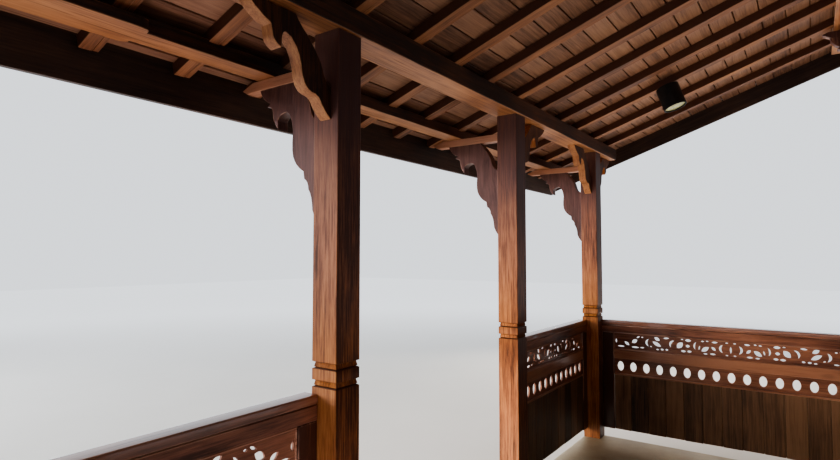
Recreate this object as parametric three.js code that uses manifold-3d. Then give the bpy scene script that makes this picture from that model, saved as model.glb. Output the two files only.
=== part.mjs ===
// Carved timber veranda: a three-bay lean-to on eight square posts, open in the middle of
// its front, with pierced balustrades in the other bays and at both ends.
// Millimetres, +Z up. X runs from the eave towards the house side, Y along the front.
import * as THREE from "three";
import { mergeVertices } from "three/addons/utils/BufferGeometryUtils.js";
import Module from "manifold-3d";

const wasm = await Module();
wasm.setup();

// Driving sizes
const postSide = 130;
const endBay = 1502;
const middleBay = 1540;
const rowDepth = 2000;
const slabHeight = 120;
const slabProud = 20;
const beamUnderside = 2344;
const roofSlope = 0.35;
const railTop = 952;
const seatGap = 0.3;

// Beams and purlins: width, height
const beamWidth = 160;
const beamHeight = 100;
const beamOverhang = 420;
const beamNoseRadius = 45;
const purlinWidth = 114;
const purlinHeight = 60;
const eavePurlinX = -402;
const innerPurlinX = 1722;
const spliceLength = 1000;
const spliceCentreY = -1857;
const spliceCheek = 36;

// Roof: rafters laid flat, boards across them, tiles over all
const rafterY = [-2523, -2163, -1803, -1442, -1082, -721, -336, 14, 359, 739, 1078, 1443, 1771, 2172, 2553];
const rafterWidth = 70;
const rafterDepth = 50;
const deckThickness = 20;
const trimThickness = 25;
const eaveInnerX = -600;
const topInnerX = 2290;
const gableInnerY = 2930;
const fasciaDrop = 115;
const bargeDrop = 85;
const seatNotch = 30;
const deepestNotch = 25;
const tileLip = 30;

// Clay tiles: rows that lap up the slope, each tile a flat pan with a roll along one edge
const tileRows = 12;
const tileColumns = 29;
const tileLap = 65;
const tileTilt = 13;
const panRise = 15;
const rollRise = 23;
const rollWidth = 96;
const rollTop = 36;
const tileSidePlay = 8;

// Arms and carved brackets
const armWidth = 60;
const armHeight = 45;
const eaveArmReach = 522;
const innerArmReach = 330;
const bracketThickness = 56;
const consoleReach = 377;

// Post grooves, just above the rail: each is a nick, a ledge that slopes in as it rises, and an
// undercut, as [height over the groove's middle, depth]
const grooveHeights = [1005, 1074];
const grooveSteps = [[-14, 0], [-9, 10], [-7, 5], [10, 9], [14, 0]];

// Balustrades: all heights are above the floor
const capWidth = 76;
const capHeight = 34;
const capProud = 40;
const panelThickness = 35;
const panelBottom = 75;
const infillThickness = 20;
const stileWidth = 95;
const fretBottom = 728;
const fretTop = 846;
const fretPitch = 168;
const ovalBandBottom = 527;
const ovalBandTop = 645;
const ovalCentre = 585;
const ovalWidth = 48;
const ovalHeight = 74;
const ovalPitch = 98.5;

// Spot lamp under a rafter near the right end
const lampX = 712;
const lampY = 1745;
const lampRadius = 75;
const lampLength = 172;
const lampRecess = 14;
const lampWall = 7;

// Worked-out places
const halfPost = postSide / 2;
const postY = [-middleBay / 2 - endBay, -middleBay / 2, middleBay / 2, middleBay / 2 + endBay];
const lastPostY = postY[3];
const floorZ = slabHeight;
const beamTopZ = floorZ + beamUnderside + beamHeight;
const pitch = Math.atan(roofSlope);
const upright = 1 / Math.cos(pitch);
const rafterUndersideZ = (x) => beamTopZ - seatNotch + roofSlope * x;
const seatZ = (x) => rafterUndersideZ(x) + seatNotch;
const deckUndersideZ = (x) => rafterUndersideZ(x) + rafterDepth * upright;
const tileUndersideZ = (x) => deckUndersideZ(x) + deckThickness * upright + seatGap;
const beamHalfLength = lastPostY + halfPost + beamOverhang;
const planCentreX = (eaveInnerX - trimThickness - tileLip + topInnerX + trimThickness + tileLip) / 2;

// Finishes, with colours taken from the timber, floor and lamp
const finish = {
  post: new THREE.MeshStandardMaterial({ color: 0x8a4f2c, roughness: 0.5, metalness: 0 }),
  beam: new THREE.MeshStandardMaterial({ color: 0x9a5f33, roughness: 0.55, metalness: 0 }),
  carved: new THREE.MeshStandardMaterial({ color: 0x7b4730, roughness: 0.55, metalness: 0 }),
  rafter: new THREE.MeshStandardMaterial({ color: 0x8c5434, roughness: 0.6, metalness: 0 }),
  trim: new THREE.MeshStandardMaterial({ color: 0x2a1a14, roughness: 0.6, metalness: 0 }),
  rail: new THREE.MeshStandardMaterial({ color: 0x54291c, roughness: 0.35, metalness: 0 }),
  floor: new THREE.MeshStandardMaterial({ color: 0xb9aaa2, roughness: 0.6, metalness: 0 }),
  tile: new THREE.MeshStandardMaterial({ color: 0x7d4433, roughness: 0.8, metalness: 0 }),
  lamp: new THREE.MeshStandardMaterial({ color: 0x0d0d0f, roughness: 0.45, metalness: 0.3 }),
  lens: new THREE.MeshStandardMaterial({ color: 0xd8dcc8, roughness: 0.15, metalness: 0 }),
};

// Solids: three.js geometry in, joined or cut, three.js geometry out
function solidOf(geometry) {
  const bare = geometry.index ? geometry.toNonIndexed() : geometry.clone();
  bare.deleteAttribute("normal");
  bare.deleteAttribute("uv");
  const merged = mergeVertices(bare, 1e-4);
  return new wasm.Manifold(
    new wasm.Mesh({
      numProp: 3,
      vertProperties: new Float32Array(merged.attributes.position.array),
      triVerts: new Uint32Array(merged.index.array),
    }),
  );
}

function geometryOf(solid) {
  const mesh = solid.getMesh();
  const geometry = new THREE.BufferGeometry();
  geometry.setAttribute("position", new THREE.BufferAttribute(new Float32Array(mesh.vertProperties), 3));
  geometry.setIndex(new THREE.BufferAttribute(new Uint32Array(mesh.triVerts), 1));
  geometry.computeVertexNormals();
  return geometry;
}

const joined = (solids) => solids.reduce((whole, solid) => whole.add(solid));
const cutBy = (solid, cutters) => cutters.reduce((left, cutter) => left.subtract(cutter), solid);

function blockGeometry(x0, x1, y0, y1, z0, z1) {
  const geometry = new THREE.BoxGeometry(x1 - x0, y1 - y0, z1 - z0);
  return geometry.translate((x0 + x1) / 2, (y0 + y1) / 2, (z0 + z1) / 2);
}

const block = (...limits) => solidOf(blockGeometry(...limits));

// A drawn outline in (u, z) pushed along Y or along X
function alongY(shape, y0, y1, curveSegments = 5) {
  const geometry = new THREE.ExtrudeGeometry(shape, { depth: y1 - y0, bevelEnabled: false, curveSegments });
  return geometry.rotateX(Math.PI / 2).translate(0, y1, 0);
}

function alongX(shape, x0, x1, curveSegments = 5) {
  const geometry = new THREE.ExtrudeGeometry(shape, { depth: x1 - x0, bevelEnabled: false, curveSegments });
  return geometry.rotateX(Math.PI / 2).rotateZ(Math.PI / 2).translate(x0, 0, 0);
}

const veranda = new THREE.Group();
veranda.position.x = -planCentreX;

function place(name, shape, material) {
  const geometry = shape instanceof THREE.BufferGeometry ? shape : geometryOf(shape);
  const mesh = new THREE.Mesh(geometry, material);
  mesh.name = name;
  veranda.add(mesh);
  return mesh;
}

// Floor slab with a rounded top edge, a little proud of the posts
function slabProfile(low, high) {
  const round = 35;
  const shape = new THREE.Shape();
  shape.moveTo(low, 0);
  shape.lineTo(high, 0);
  shape.lineTo(high, slabHeight - round);
  shape.absarc(high - round, slabHeight - round, round, 0, Math.PI / 2);
  shape.absarc(low + round, slabHeight - round, round, Math.PI / 2, Math.PI);
  shape.closePath();
  return shape;
}

function makeFloor() {
  const x0 = -halfPost - slabProud;
  const x1 = rowDepth + halfPost + slabProud;
  const y1 = lastPostY + halfPost + slabProud;
  const across = solidOf(alongY(slabProfile(x0, x1), -y1, y1));
  const along = solidOf(alongX(slabProfile(-y1, y1), x0, x1));
  place("floor_slab", across.intersect(along), finish.floor);
}

// Square post with two grooves round it: a four-sided turning
function postGeometry(height, grooved) {
  const corner = (inset) => (halfPost - inset) * Math.SQRT2;
  const points = [new THREE.Vector2(0, 0), new THREE.Vector2(corner(0), 0)];
  if (grooved) {
    for (const middle of grooveHeights) {
      for (const [rise, depth] of grooveSteps) points.push(new THREE.Vector2(corner(depth), middle + rise));
    }
  }
  points.push(new THREE.Vector2(corner(0), height), new THREE.Vector2(0, height));
  const geometry = new THREE.LatheGeometry(points, 4);
  return geometry.rotateY(Math.PI / 4).rotateX(Math.PI / 2);
}

function makePosts() {
  const rows = [
    { name: "outer_post", x: 0, top: beamTopZ - beamHeight },
    { name: "inner_post", x: rowDepth, top: seatZ(rowDepth) - beamHeight },
  ];
  for (const row of rows) {
    postY.forEach((y, i) => {
      const height = row.top - floorZ - 2 * seatGap;
      const post = place(`${row.name}_${i + 1}`, postGeometry(height, true), finish.post);
      post.position.set(row.x, y, floorZ + seatGap);
    });
  }
}

// Long beam with noses rounded on the underside; its top is planed down where it would cut
// deeper than the rafters' notches
function beamSolid(x, width, bottom, height, halfLength) {
  const shape = new THREE.Shape();
  const r = beamNoseRadius;
  shape.moveTo(-halfLength, bottom + height);
  shape.lineTo(-halfLength, bottom + r);
  shape.absarc(-halfLength + r, bottom + r, r, Math.PI, Math.PI * 1.5);
  shape.absarc(halfLength - r, bottom + r, r, -Math.PI / 2, 0);
  shape.lineTo(halfLength, bottom + height);
  shape.closePath();
  return solidOf(alongX(shape, x - width / 2, x + width / 2, 4)).intersect(underPlane(x, 0));
}

// Everything under the plane that the rafters' deepest notches reach, near one beam
function underPlane(x, gap) {
  const reach = 450;
  const rise = deepestNotch + gap;
  const shape = new THREE.Shape();
  shape.moveTo(x - reach, 0);
  shape.lineTo(x + reach, 0);
  shape.lineTo(x + reach, rafterUndersideZ(x + reach) + rise);
  shape.lineTo(x - reach, rafterUndersideZ(x - reach) + rise);
  shape.closePath();
  return solidOf(alongY(shape, -2 * lastPostY, 2 * lastPostY));
}

const carriers = [];

function makeBeams() {
  const innerBottom = seatZ(rowDepth) - beamHeight;
  const beams = [
    { name: "outer_beam", x: 0, bottom: beamTopZ - beamHeight },
    { name: "inner_beam", x: rowDepth, bottom: innerBottom },
  ];
  for (const beam of beams) {
    place(beam.name, beamSolid(beam.x, beamWidth, beam.bottom, beamHeight, beamHalfLength), finish.beam);
    carriers.push({ x: beam.x, width: beamWidth, top: beam.bottom + beamHeight });
  }
}

// Purlins: the eave one has cheek boards over its joint
function splicePlan(side) {
  const near = spliceCentreY + spliceLength / 2;
  const far = spliceCentreY - spliceLength / 2;
  const edge = eavePurlinX + (side * purlinWidth) / 2;
  const shape = new THREE.Shape();
  shape.moveTo(edge, far);
  shape.lineTo(edge + side * spliceCheek * 0.35, far);
  shape.quadraticCurveTo(edge + side * spliceCheek, far + 4, edge + side * spliceCheek, far + spliceCheek * 1.6);
  shape.lineTo(edge + side * spliceCheek, near - spliceCheek * 1.6);
  shape.quadraticCurveTo(edge + side * spliceCheek, near - 4, edge + side * spliceCheek * 0.35, near);
  shape.lineTo(edge, near);
  shape.closePath();
  return shape;
}

function makePurlins() {
  const halfLength = beamHalfLength + 60;
  const eaveBottom = seatZ(eavePurlinX) - purlinHeight;
  const innerBottom = seatZ(innerPurlinX) - purlinHeight;
  const eave = beamSolid(eavePurlinX, purlinWidth, eaveBottom, purlinHeight, halfLength);
  const cheeks = [-1, 1].map((side) => {
    const depth = purlinHeight - 20;
    const geometry = new THREE.ExtrudeGeometry(splicePlan(side), { depth, bevelEnabled: false, curveSegments: 4 });
    return solidOf(geometry.translate(0, 0, eaveBottom)).intersect(underPlane(eavePurlinX, 0));
  });
  place("eave_purlin", joined([eave, ...cheeks]), finish.beam);
  const inner = beamSolid(innerPurlinX, purlinWidth, innerBottom, purlinHeight, halfLength);
  place("inner_purlin", inner, finish.beam);
  const splicedWidth = purlinWidth + 2 * spliceCheek;
  carriers.push({ x: eavePurlinX, width: splicedWidth, top: eaveBottom + purlinHeight });
  carriers.push({ x: innerPurlinX, width: purlinWidth, top: innerBottom + purlinHeight });
}

// Carved brackets seen from the side: u runs out from the post, z down from what they carry.
// Both have a nose, a hanging claw, a hollow, a swelling neck and a stepped tail, and a
// rounded shoulder that leaves a gap next to the post.
function outline(stretch) {
  const shape = new THREE.Shape();
  return {
    shape,
    from: (u, z) => shape.moveTo(u * stretch, -z),
    to: (u, z) => shape.lineTo(u * stretch, -z),
    bend: (cu, cz, u, z) => shape.quadraticCurveTo(cu * stretch, -cz, u * stretch, -z),
  };
}

function consoleShape(stretch) {
  const pen = outline(stretch);
  pen.from(141, 0);
  pen.to(consoleReach, 0);
  pen.bend(358, 50, 309, 66);
  pen.to(329, 80);
  pen.bend(290, 84, 291, 112);
  pen.bend(290, 152, 255, 187);
  pen.to(258, 146);
  pen.bend(246, 121, 202, 121);
  pen.bend(172, 131, 163, 205);
  pen.bend(176, 300, 152, 332);
  pen.bend(132, 364, 99, 379);
  pen.to(94, 411);
  pen.bend(71, 420, 69, 455);
  pen.bend(49, 478, 45, 540);
  pen.bend(30, 582, 0, 605);
  pen.to(0, 184);
  pen.bend(50, 176, 57, 135);
  pen.bend(64, 78, 141, 0);
  return pen.shape;
}

function kneeShape() {
  const pen = outline(1);
  pen.from(180, 0);
  pen.to(392, 0);
  pen.bend(372, 40, 289, 74);
  pen.to(283, 104);
  pen.bend(282, 130, 243, 145);
  pen.to(241, 108);
  pen.bend(238, 82, 222, 82);
  pen.bend(172, 98, 151, 180);
  pen.bend(146, 258, 99, 267);
  pen.bend(70, 268, 59, 283);
  pen.bend(40, 322, 0, 348);
  pen.to(0, 222);
  pen.bend(36, 206, 44, 165);
  pen.bend(60, 122, 127, 56);
  pen.bend(150, 40, 180, 0);
  return pen.shape;
}

function bracketGeometry(shape) {
  return alongY(shape, -bracketThickness / 2, bracketThickness / 2, 4);
}

// Arms carry the purlins, each on its carved console; the inner ones are cut in one piece
function makeArmsAndConsoles() {
  const towards = [
    { row: 0, purlin: eavePurlinX, reach: eaveArmReach, label: "eave" },
    { row: rowDepth, purlin: innerPurlinX, reach: innerArmReach, label: "inner" },
  ];
  for (const { row, purlin, reach, label } of towards) {
    const face = row - halfPost - seatGap;
    const armTop = seatZ(purlin) - purlinHeight - seatGap;
    const armBottom = armTop - armHeight;
    postY.forEach((y, i) => {
      const arm = armSolid(face, reach, y, armBottom);
      const stretch = Math.min(1, (reach - 40) / consoleReach);
      const geometry = bracketGeometry(consoleShape(stretch)).rotateZ(Math.PI);
      if (label === "inner") {
        const carved = solidOf(geometry.translate(face, y, armBottom + 1));
        place(`inner_bracket_${i + 1}`, arm.add(carved), finish.carved);
        return;
      }
      place(`eave_arm_${i + 1}`, arm, finish.beam);
      const piece = place(`eave_console_${i + 1}`, geometry, finish.carved);
      piece.position.set(face, y, armBottom - seatGap);
    });
  }
}

// An arm tapers to a slanted tip, planed clear of the rafters over it
function armSolid(face, reach, y, bottom) {
  const shape = new THREE.Shape();
  shape.moveTo(face, bottom);
  shape.lineTo(face, bottom + armHeight);
  shape.lineTo(face - reach + 12, bottom + armHeight);
  shape.lineTo(face - reach, bottom + armHeight * 0.7);
  shape.lineTo(face - reach + 55, bottom);
  shape.closePath();
  const arm = solidOf(alongY(shape, y - armWidth / 2, y + armWidth / 2));
  return arm.intersect(underPlane(face - reach / 2, -deepestNotch - seatGap));
}

// Knees stiffen the outer beam on both sides of every outer post, but not over the open middle bay
function makeKnees() {
  const top = beamTopZ - beamHeight - seatGap;
  const bare = ["knee_2_right", "knee_3_left"];
  postY.forEach((y, i) => {
    for (const [side, turn] of [["left", -Math.PI / 2], ["right", Math.PI / 2]]) {
      if (bare.includes(`knee_${i + 1}_${side}`)) continue;
      const geometry = bracketGeometry(kneeShape()).rotateZ(turn);
      const piece = place(`knee_${i + 1}_${side}`, geometry, finish.carved);
      piece.position.set(0, y + Math.sign(turn) * (halfPost + seatGap), top);
    }
  });
}

// A flat layer lying on the roof slope, from its underside height at x
function slopeLayer(x0, x1, y0, y1, undersideZ, thickness) {
  const lift = thickness * upright;
  const shape = new THREE.Shape();
  shape.moveTo(x0, undersideZ(x0));
  shape.lineTo(x1, undersideZ(x1));
  shape.lineTo(x1, undersideZ(x1) + lift);
  shape.lineTo(x0, undersideZ(x0) + lift);
  shape.closePath();
  return solidOf(alongY(shape, y0, y1));
}

function makeRoof() {
  const x0 = eaveInnerX + seatGap;
  const x1 = topInnerX - seatGap;
  const y1 = gableInnerY - seatGap;
  const deck = slopeLayer(x0, x1, -y1, y1, deckUndersideZ, deckThickness);
  const half = rafterWidth / 2;
  const rafters = rafterY.map((y) => slopeLayer(x0, x1, y - half, y + half, rafterUndersideZ, rafterDepth + 1));
  const seats = carriers.map(({ x, width, top }) => {
    const half = width / 2 + seatGap;
    const below = beamHeight + purlinHeight;
    const seat = block(x - half, x + half, -gableInnerY, gableInnerY, top - below, top + seatGap);
    return seat.intersect(underPlane(x, 2 * seatGap));
  });
  place("rafters_and_deck", cutBy(joined([deck, ...rafters]), seats), finish.rafter);
  const lip = trimThickness + tileLip;
  makeTiles(x0 - lip, x1 + lip, y1 + lip);
}

// One row of tiles seen up the slope: pans and rolls over a deep base
function tileRowShape(halfWidth, base) {
  const low = -2 * tileTilt;
  const pitchY = (2 * halfWidth - 2 * tileSidePlay) / tileColumns;
  const shoulder = (rollWidth - rollTop) / 2;
  const shape = new THREE.Shape();
  shape.moveTo(-halfWidth, base + low);
  shape.lineTo(-halfWidth, base + panRise);
  for (let i = 1; i <= tileColumns; i++) {
    const edge = -halfWidth + tileSidePlay + i * pitchY + tileSidePlay;
    shape.lineTo(edge - rollWidth, base + panRise);
    shape.lineTo(edge - rollWidth + shoulder, base + panRise + rollRise);
    shape.lineTo(edge - shoulder, base + panRise + rollRise);
    shape.lineTo(edge, base + panRise);
  }
  shape.lineTo(halfWidth, base + low);
  shape.closePath();
  return shape;
}

// Rows of tiles are drawn along the slope, tilted so that each lies on the one below, trimmed
// level with the boards under them, then laid on the roof
function makeTiles(x0, x1, halfWidth) {
  const base = rafterDepth + deckThickness + seatGap / upright;
  const rise = base + panRise + tileTilt + rollRise;
  const along = (x, lift) => (x + lift * Math.sin(pitch)) / Math.cos(pitch);
  const start = along(x0, rise);
  const exposure = (along(x1, base) - start - tileLap) / tileRows;
  const length = exposure + tileLap;
  const fall = tileTilt / length;
  const shape = tileRowShape(halfWidth, base);
  const rows = [];
  for (let i = 0; i < tileRows; i++) {
    const row = alongX(shape, 0, length);
    row.applyMatrix4(new THREE.Matrix4().set(1, 0, 0, 0, 0, 1, 0, 0, -fall, 0, 1, tileTilt, 0, 0, 0, 1));
    rows.push(solidOf(row.translate(start + i * exposure, 0, 0)));
  }
  const room = block(2 * start, 2 * along(x1, base), -2 * halfWidth, 2 * halfWidth, base, 2 * rise);
  const cover = geometryOf(joined(rows).intersect(room));
  place("roof_tiles", cover.rotateY(-pitch).translate(0, 0, rafterUndersideZ(0)), finish.tile);
}

// Boards that close the edges of the roof
function makeTrim() {
  const top = (x) => tileUndersideZ(x) - seatGap;
  const halfLength = gableInnerY - seatGap;
  const eaveBottom = rafterUndersideZ(eaveInnerX) - fasciaDrop;
  const eaveTop = top(eaveInnerX - trimThickness) - seatGap;
  const eaveX = eaveInnerX - trimThickness;
  place("eave_fascia", block(eaveX, eaveInnerX, -halfLength, halfLength, eaveBottom, eaveTop), finish.trim);
  const upperBottom = rafterUndersideZ(topInnerX) - fasciaDrop;
  const upperTop = top(topInnerX) - seatGap;
  const upperX = topInnerX + trimThickness;
  place("top_fascia", block(topInnerX, upperX, -halfLength, halfLength, upperBottom, upperTop), finish.trim);
  const depth = (bargeDrop + (rafterDepth + deckThickness) * upright) / upright;
  const underside = (x) => rafterUndersideZ(x) - bargeDrop;
  for (const [label, side] of [["left", -1], ["right", 1]]) {
    const ys = [side * gableInnerY, side * (gableInnerY + trimThickness)].sort((a, b) => a - b);
    const board = slopeLayer(eaveX, upperX, ys[0], ys[1], underside, depth - seatGap);
    place(`barge_board_${label}`, board, finish.trim);
  }
}

// Balustrade outline pieces, drawn along u from one post face to the next
function ovalShape(u, z) {
  const shape = new THREE.Shape();
  shape.absellipse(u, z, ovalWidth / 2, ovalHeight / 2, 0, Math.PI * 2, false, 0);
  return shape;
}

function leafShape(u0, z0, u1, z1, bulge) {
  const shape = new THREE.Shape();
  const nx = -(z1 - z0) * bulge;
  const nz = (u1 - u0) * bulge;
  const mu = (u0 + u1) / 2;
  const mz = (z0 + z1) / 2;
  shape.moveTo(u0, z0);
  shape.quadraticCurveTo(mu - nx, mz - nz, u1, z1);
  shape.quadraticCurveTo(mu + nx, mz + nz, u0, z0);
  return shape;
}

// A thin moon: an arc of a circle, hollowed from its chord side and pointed at both ends
function moonShape(u, z, radius, startDegrees, endDegrees, thickness) {
  const start = THREE.MathUtils.degToRad(startDegrees);
  const end = THREE.MathUtils.degToRad(endDegrees);
  const middle = (start + end) / 2;
  const chord = radius * Math.cos((end - start) / 2);
  const pull = 2 * (radius - thickness) - chord;
  const shape = new THREE.Shape();
  shape.absarc(u, z, radius, start, end);
  const back = [u + radius * Math.cos(start), z + radius * Math.sin(start)];
  shape.quadraticCurveTo(u + pull * Math.cos(middle), z + pull * Math.sin(middle), ...back);
  return shape;
}

// One turn of the pierced vine: a tall moon, a broad leaf beside it, and slivers over and under
// them. Leaves are [start, height, end, height, bulge], along the turn and over its middle.
function fretOpenings(u, width, leaning) {
  const middle = (fretBottom + fretTop) / 2;
  const lean = leaning ? -24 : 4;
  const leaves = [
    leaning ? [0.27, -14, 0.53, 18, 0.6] : [0.27, 22, 0.56, -16, 0.44],
    [0.28, 48, 0.56, 42, 0.34],
    [0.68, 50, 0.94, 50, 0.16],
    [0.33, -42, 0.53, -40, 0.3],
    [0.57, -44, 0.72, -36, 0.36],
    [0.76, -40, 0.98, -42, 0.3],
  ];
  const shapes = leaves.map(([from, low, to, high, bulge]) =>
    leafShape(u + width * from, middle + low, u + width * to, middle + high, bulge),
  );
  return [moonShape(u + width * 0.21, middle + 6, 29, 112 + lean, 248 + lean, 13), ...shapes];
}

function balustradeSolid(length) {
  const half = panelThickness / 2;
  const recess = (panelThickness - infillThickness) / 2;
  const top = railTop - capHeight - seatGap;
  const inner = length - 2 * stileWidth;
  const through = (shape, segments) => solidOf(alongY(shape, -half - 5, half + 5, segments));
  const cutters = [];
  const fields = [
    [fretBottom - 8, fretTop + 8],
    [ovalBandBottom, ovalBandTop],
    [panelBottom - 10, ovalBandBottom - 14],
  ];
  for (const [z0, z1] of fields) {
    for (const side of [-1, 1]) {
      const ys = [side * (half - recess), side * (half + 5)].sort((a, b) => a - b);
      cutters.push(block(stileWidth, length - stileWidth, ys[0], ys[1], z0, z1));
    }
  }
  const ovals = Math.round(inner / ovalPitch);
  for (let i = 0; i < ovals; i++) {
    cutters.push(through(ovalShape(stileWidth + ((i + 0.5) * inner) / ovals, ovalCentre), 5));
  }
  const turns = Math.round(inner / fretPitch);
  for (let i = 0; i < turns; i++) {
    const shapes = fretOpenings(stileWidth + (i * inner) / turns, inner / turns, i % 2 > 0);
    for (const shape of shapes) cutters.push(through(shape, 3));
  }
  return cutBy(block(0, length, -half, half, panelBottom, top), cutters);
}

function capSolid(length) {
  const shape = new THREE.Shape();
  const half = capWidth / 2;
  const base = railTop - capHeight;
  const edge = 8;
  shape.moveTo(-half, base);
  shape.lineTo(half, base);
  shape.lineTo(half, railTop - edge);
  shape.quadraticCurveTo(half, railTop, half - edge, railTop);
  shape.lineTo(-half + edge, railTop);
  shape.quadraticCurveTo(-half, railTop, -half, railTop - edge);
  shape.closePath();
  return solidOf(alongX(shape, 0, length, 3));
}

// Balustrades stand near the outer faces of the posts
function makeBalustrades() {
  const capOut = -halfPost - capProud + capWidth / 2;
  const panelOut = -halfPost + panelThickness / 2;
  const frontLength = endBay - postSide - 2 * seatGap;
  const endLength = rowDepth - postSide - 2 * seatGap;
  const start = halfPost + seatGap;
  const runs = [
    { name: "front_left", x: 0, y: postY[0], turn: Math.PI / 2, length: frontLength, out: [-1, 0] },
    { name: "front_right", x: 0, y: postY[2], turn: Math.PI / 2, length: frontLength, out: [-1, 0] },
    { name: "end_left", x: 0, y: postY[0], turn: 0, length: endLength, out: [0, -1] },
    { name: "end_right", x: 0, y: postY[3], turn: 0, length: endLength, out: [0, 1] },
  ];
  for (const run of runs) {
    for (const [kind, solid, out] of [
      ["cap_rail", capSolid(run.length), capOut],
      ["balustrade", balustradeSolid(run.length), panelOut],
    ]) {
      const piece = place(`${kind}_${run.name}`, solid, finish.rail);
      piece.rotation.z = run.turn;
      const along = run.turn ? [0, start] : [start, 0];
      piece.position.set(run.x + along[0] - run.out[0] * out, run.y + along[1] - run.out[1] * out, floorZ);
    }
  }
}

// Round lamp hung square to the roof slope
function makeLamp() {
  const body = [
    [0, 0], [34, 0], [34, 14], [lampRadius, 14], [lampRadius, lampLength],
    [lampRadius - lampWall, lampLength], [lampRadius - lampWall, lampLength - lampRecess], [0, lampLength - lampRecess],
  ];
  const lensFar = lampLength - lampRecess + seatGap;
  const lensRadius = lampRadius - lampWall - seatGap;
  const lens = [[0, lensFar], [lensRadius, lensFar], [lensRadius - 3, lensFar + 6], [0, lensFar + 9]];
  for (const [name, profile, material] of [["spot_lamp", body, finish.lamp], ["lamp_lens", lens, finish.lens]]) {
    const points = profile.map(([r, s]) => new THREE.Vector2(r, s));
    const geometry = new THREE.LatheGeometry(points, 28).rotateX(-Math.PI / 2);
    const piece = place(name, solidOf(geometry), material);
    piece.rotation.y = -pitch;
    const off = seatGap;
    piece.position.set(lampX + off * Math.sin(pitch), lampY, rafterUndersideZ(lampX) - off * Math.cos(pitch));
  }
}

makeFloor();
makePosts();
makeBeams();
makePurlins();
makeArmsAndConsoles();
makeKnees();
makeRoof();
makeTrim();
makeBalustrades();
makeLamp();

export default veranda;
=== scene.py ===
import math
import random

import bpy
from mathutils import Matrix, Vector


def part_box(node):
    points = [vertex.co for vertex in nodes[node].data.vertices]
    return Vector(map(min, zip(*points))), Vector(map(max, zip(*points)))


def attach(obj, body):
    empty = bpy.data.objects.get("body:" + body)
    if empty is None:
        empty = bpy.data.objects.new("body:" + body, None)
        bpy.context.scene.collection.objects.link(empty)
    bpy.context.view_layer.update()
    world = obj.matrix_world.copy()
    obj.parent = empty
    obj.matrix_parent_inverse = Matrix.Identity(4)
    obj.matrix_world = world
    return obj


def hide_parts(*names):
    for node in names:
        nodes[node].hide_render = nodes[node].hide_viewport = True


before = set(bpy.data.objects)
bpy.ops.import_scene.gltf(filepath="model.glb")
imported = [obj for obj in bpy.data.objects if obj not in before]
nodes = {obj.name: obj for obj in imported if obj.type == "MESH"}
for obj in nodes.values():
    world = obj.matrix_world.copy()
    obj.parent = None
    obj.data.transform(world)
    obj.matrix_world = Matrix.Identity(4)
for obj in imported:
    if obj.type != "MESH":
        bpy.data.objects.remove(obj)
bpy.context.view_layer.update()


random.seed(7)
print("frame loaded:", len(nodes), "nodes")


# Working helpers

def clearSelection():
    if bpy.context.object and bpy.context.object.mode != "OBJECT":
        bpy.ops.object.mode_set(mode="OBJECT")
    bpy.ops.object.select_all(action="DESELECT")


def pick(*pieces):
    clearSelection()
    for piece in pieces:
        piece.select_set(True)
    bpy.context.view_layer.objects.active = pieces[0]
    return pieces[0]


def editAll(piece, *steps):
    pick(piece)
    bpy.ops.object.mode_set(mode="EDIT")
    bpy.ops.mesh.select_all(action="SELECT")
    for step in steps:
        step()
    bpy.ops.object.mode_set(mode="OBJECT")
    return piece


def applyModifier(piece, kind, **values):
    pick(piece)
    modifier = piece.modifiers.new(kind.title(), kind)
    for key, value in values.items():
        setattr(modifier, key, value)
    bpy.ops.object.modifier_apply(modifier=modifier.name)
    return piece


def smoothEdges(piece, degrees=20):
    pick(piece)
    bpy.ops.object.shade_smooth_by_angle(angle=math.radians(degrees))
    return piece


def joinPieces(name, pieces):
    whole = pick(*pieces)
    if len(pieces) > 1:
        bpy.ops.object.join()
    whole.name = name
    return whole


def copyOf(piece, name, matrix):
    twin = bpy.data.objects.new(name, piece.data.copy())
    bpy.context.scene.collection.objects.link(twin)
    twin.data.transform(matrix)
    return twin


def setTone(piece, tone, shade=None):  # a board's own tone, and the painted shade that shade(normal) adds on single faces, with dirt on the tiles
    mesh = piece.data
    if "tone" not in mesh.attributes:
        mesh.attributes.new("tone", "FLOAT", "CORNER")
    tones = [tone] * len(mesh.loops)
    if shade:
        for face in mesh.polygons:
            for loop in face.loop_indices:
                tones[loop] = tone + shade(face.normal)
    mesh.attributes["tone"].data.foreach_set("value", tones)
    return piece


def markWear(piece, widest):  # narrow bevel faces get the rubbed look
    mesh = piece.data
    if "wear" not in mesh.attributes:
        mesh.attributes.new("wear", "FLOAT", "CORNER")
    flags = [0.0] * len(mesh.loops)
    for face in mesh.polygons:
        points = [mesh.vertices[i].co for i in face.vertices]
        shortest = min((points[i] - points[i - 1]).length for i in range(len(points)))
        if shortest < widest:
            for loop in face.loop_indices:
                flags[loop] = 1.0
    mesh.attributes["wear"].data.foreach_set("value", flags)
    return piece


def sawnBoard(low, high, edge=0.003, segments=2):
    clearSelection()
    centre = [(a + b) / 2 for a, b in zip(low, high)]
    bpy.ops.mesh.primitive_cube_add(size=1, location=centre)
    piece = bpy.context.object
    piece.scale = [b - a for a, b in zip(low, high)]
    bpy.ops.object.transform_apply(location=True, rotation=True, scale=True)
    return editAll(piece, lambda: bpy.ops.mesh.bevel(offset=edge, segments=segments, affect="EDGES"))


def bareCopy(nodeName):  # the solid's own shape in as few faces as it needs
    piece = bpy.data.objects.new("eased_" + nodeName, nodes[nodeName].data.copy())
    bpy.context.scene.collection.objects.link(piece)
    piece.data.materials.clear()
    return editAll(
        piece,
        lambda: bpy.ops.mesh.remove_doubles(threshold=0.00002),
        lambda: bpy.ops.mesh.dissolve_limited(angle_limit=math.radians(0.6)),
    )


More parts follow.
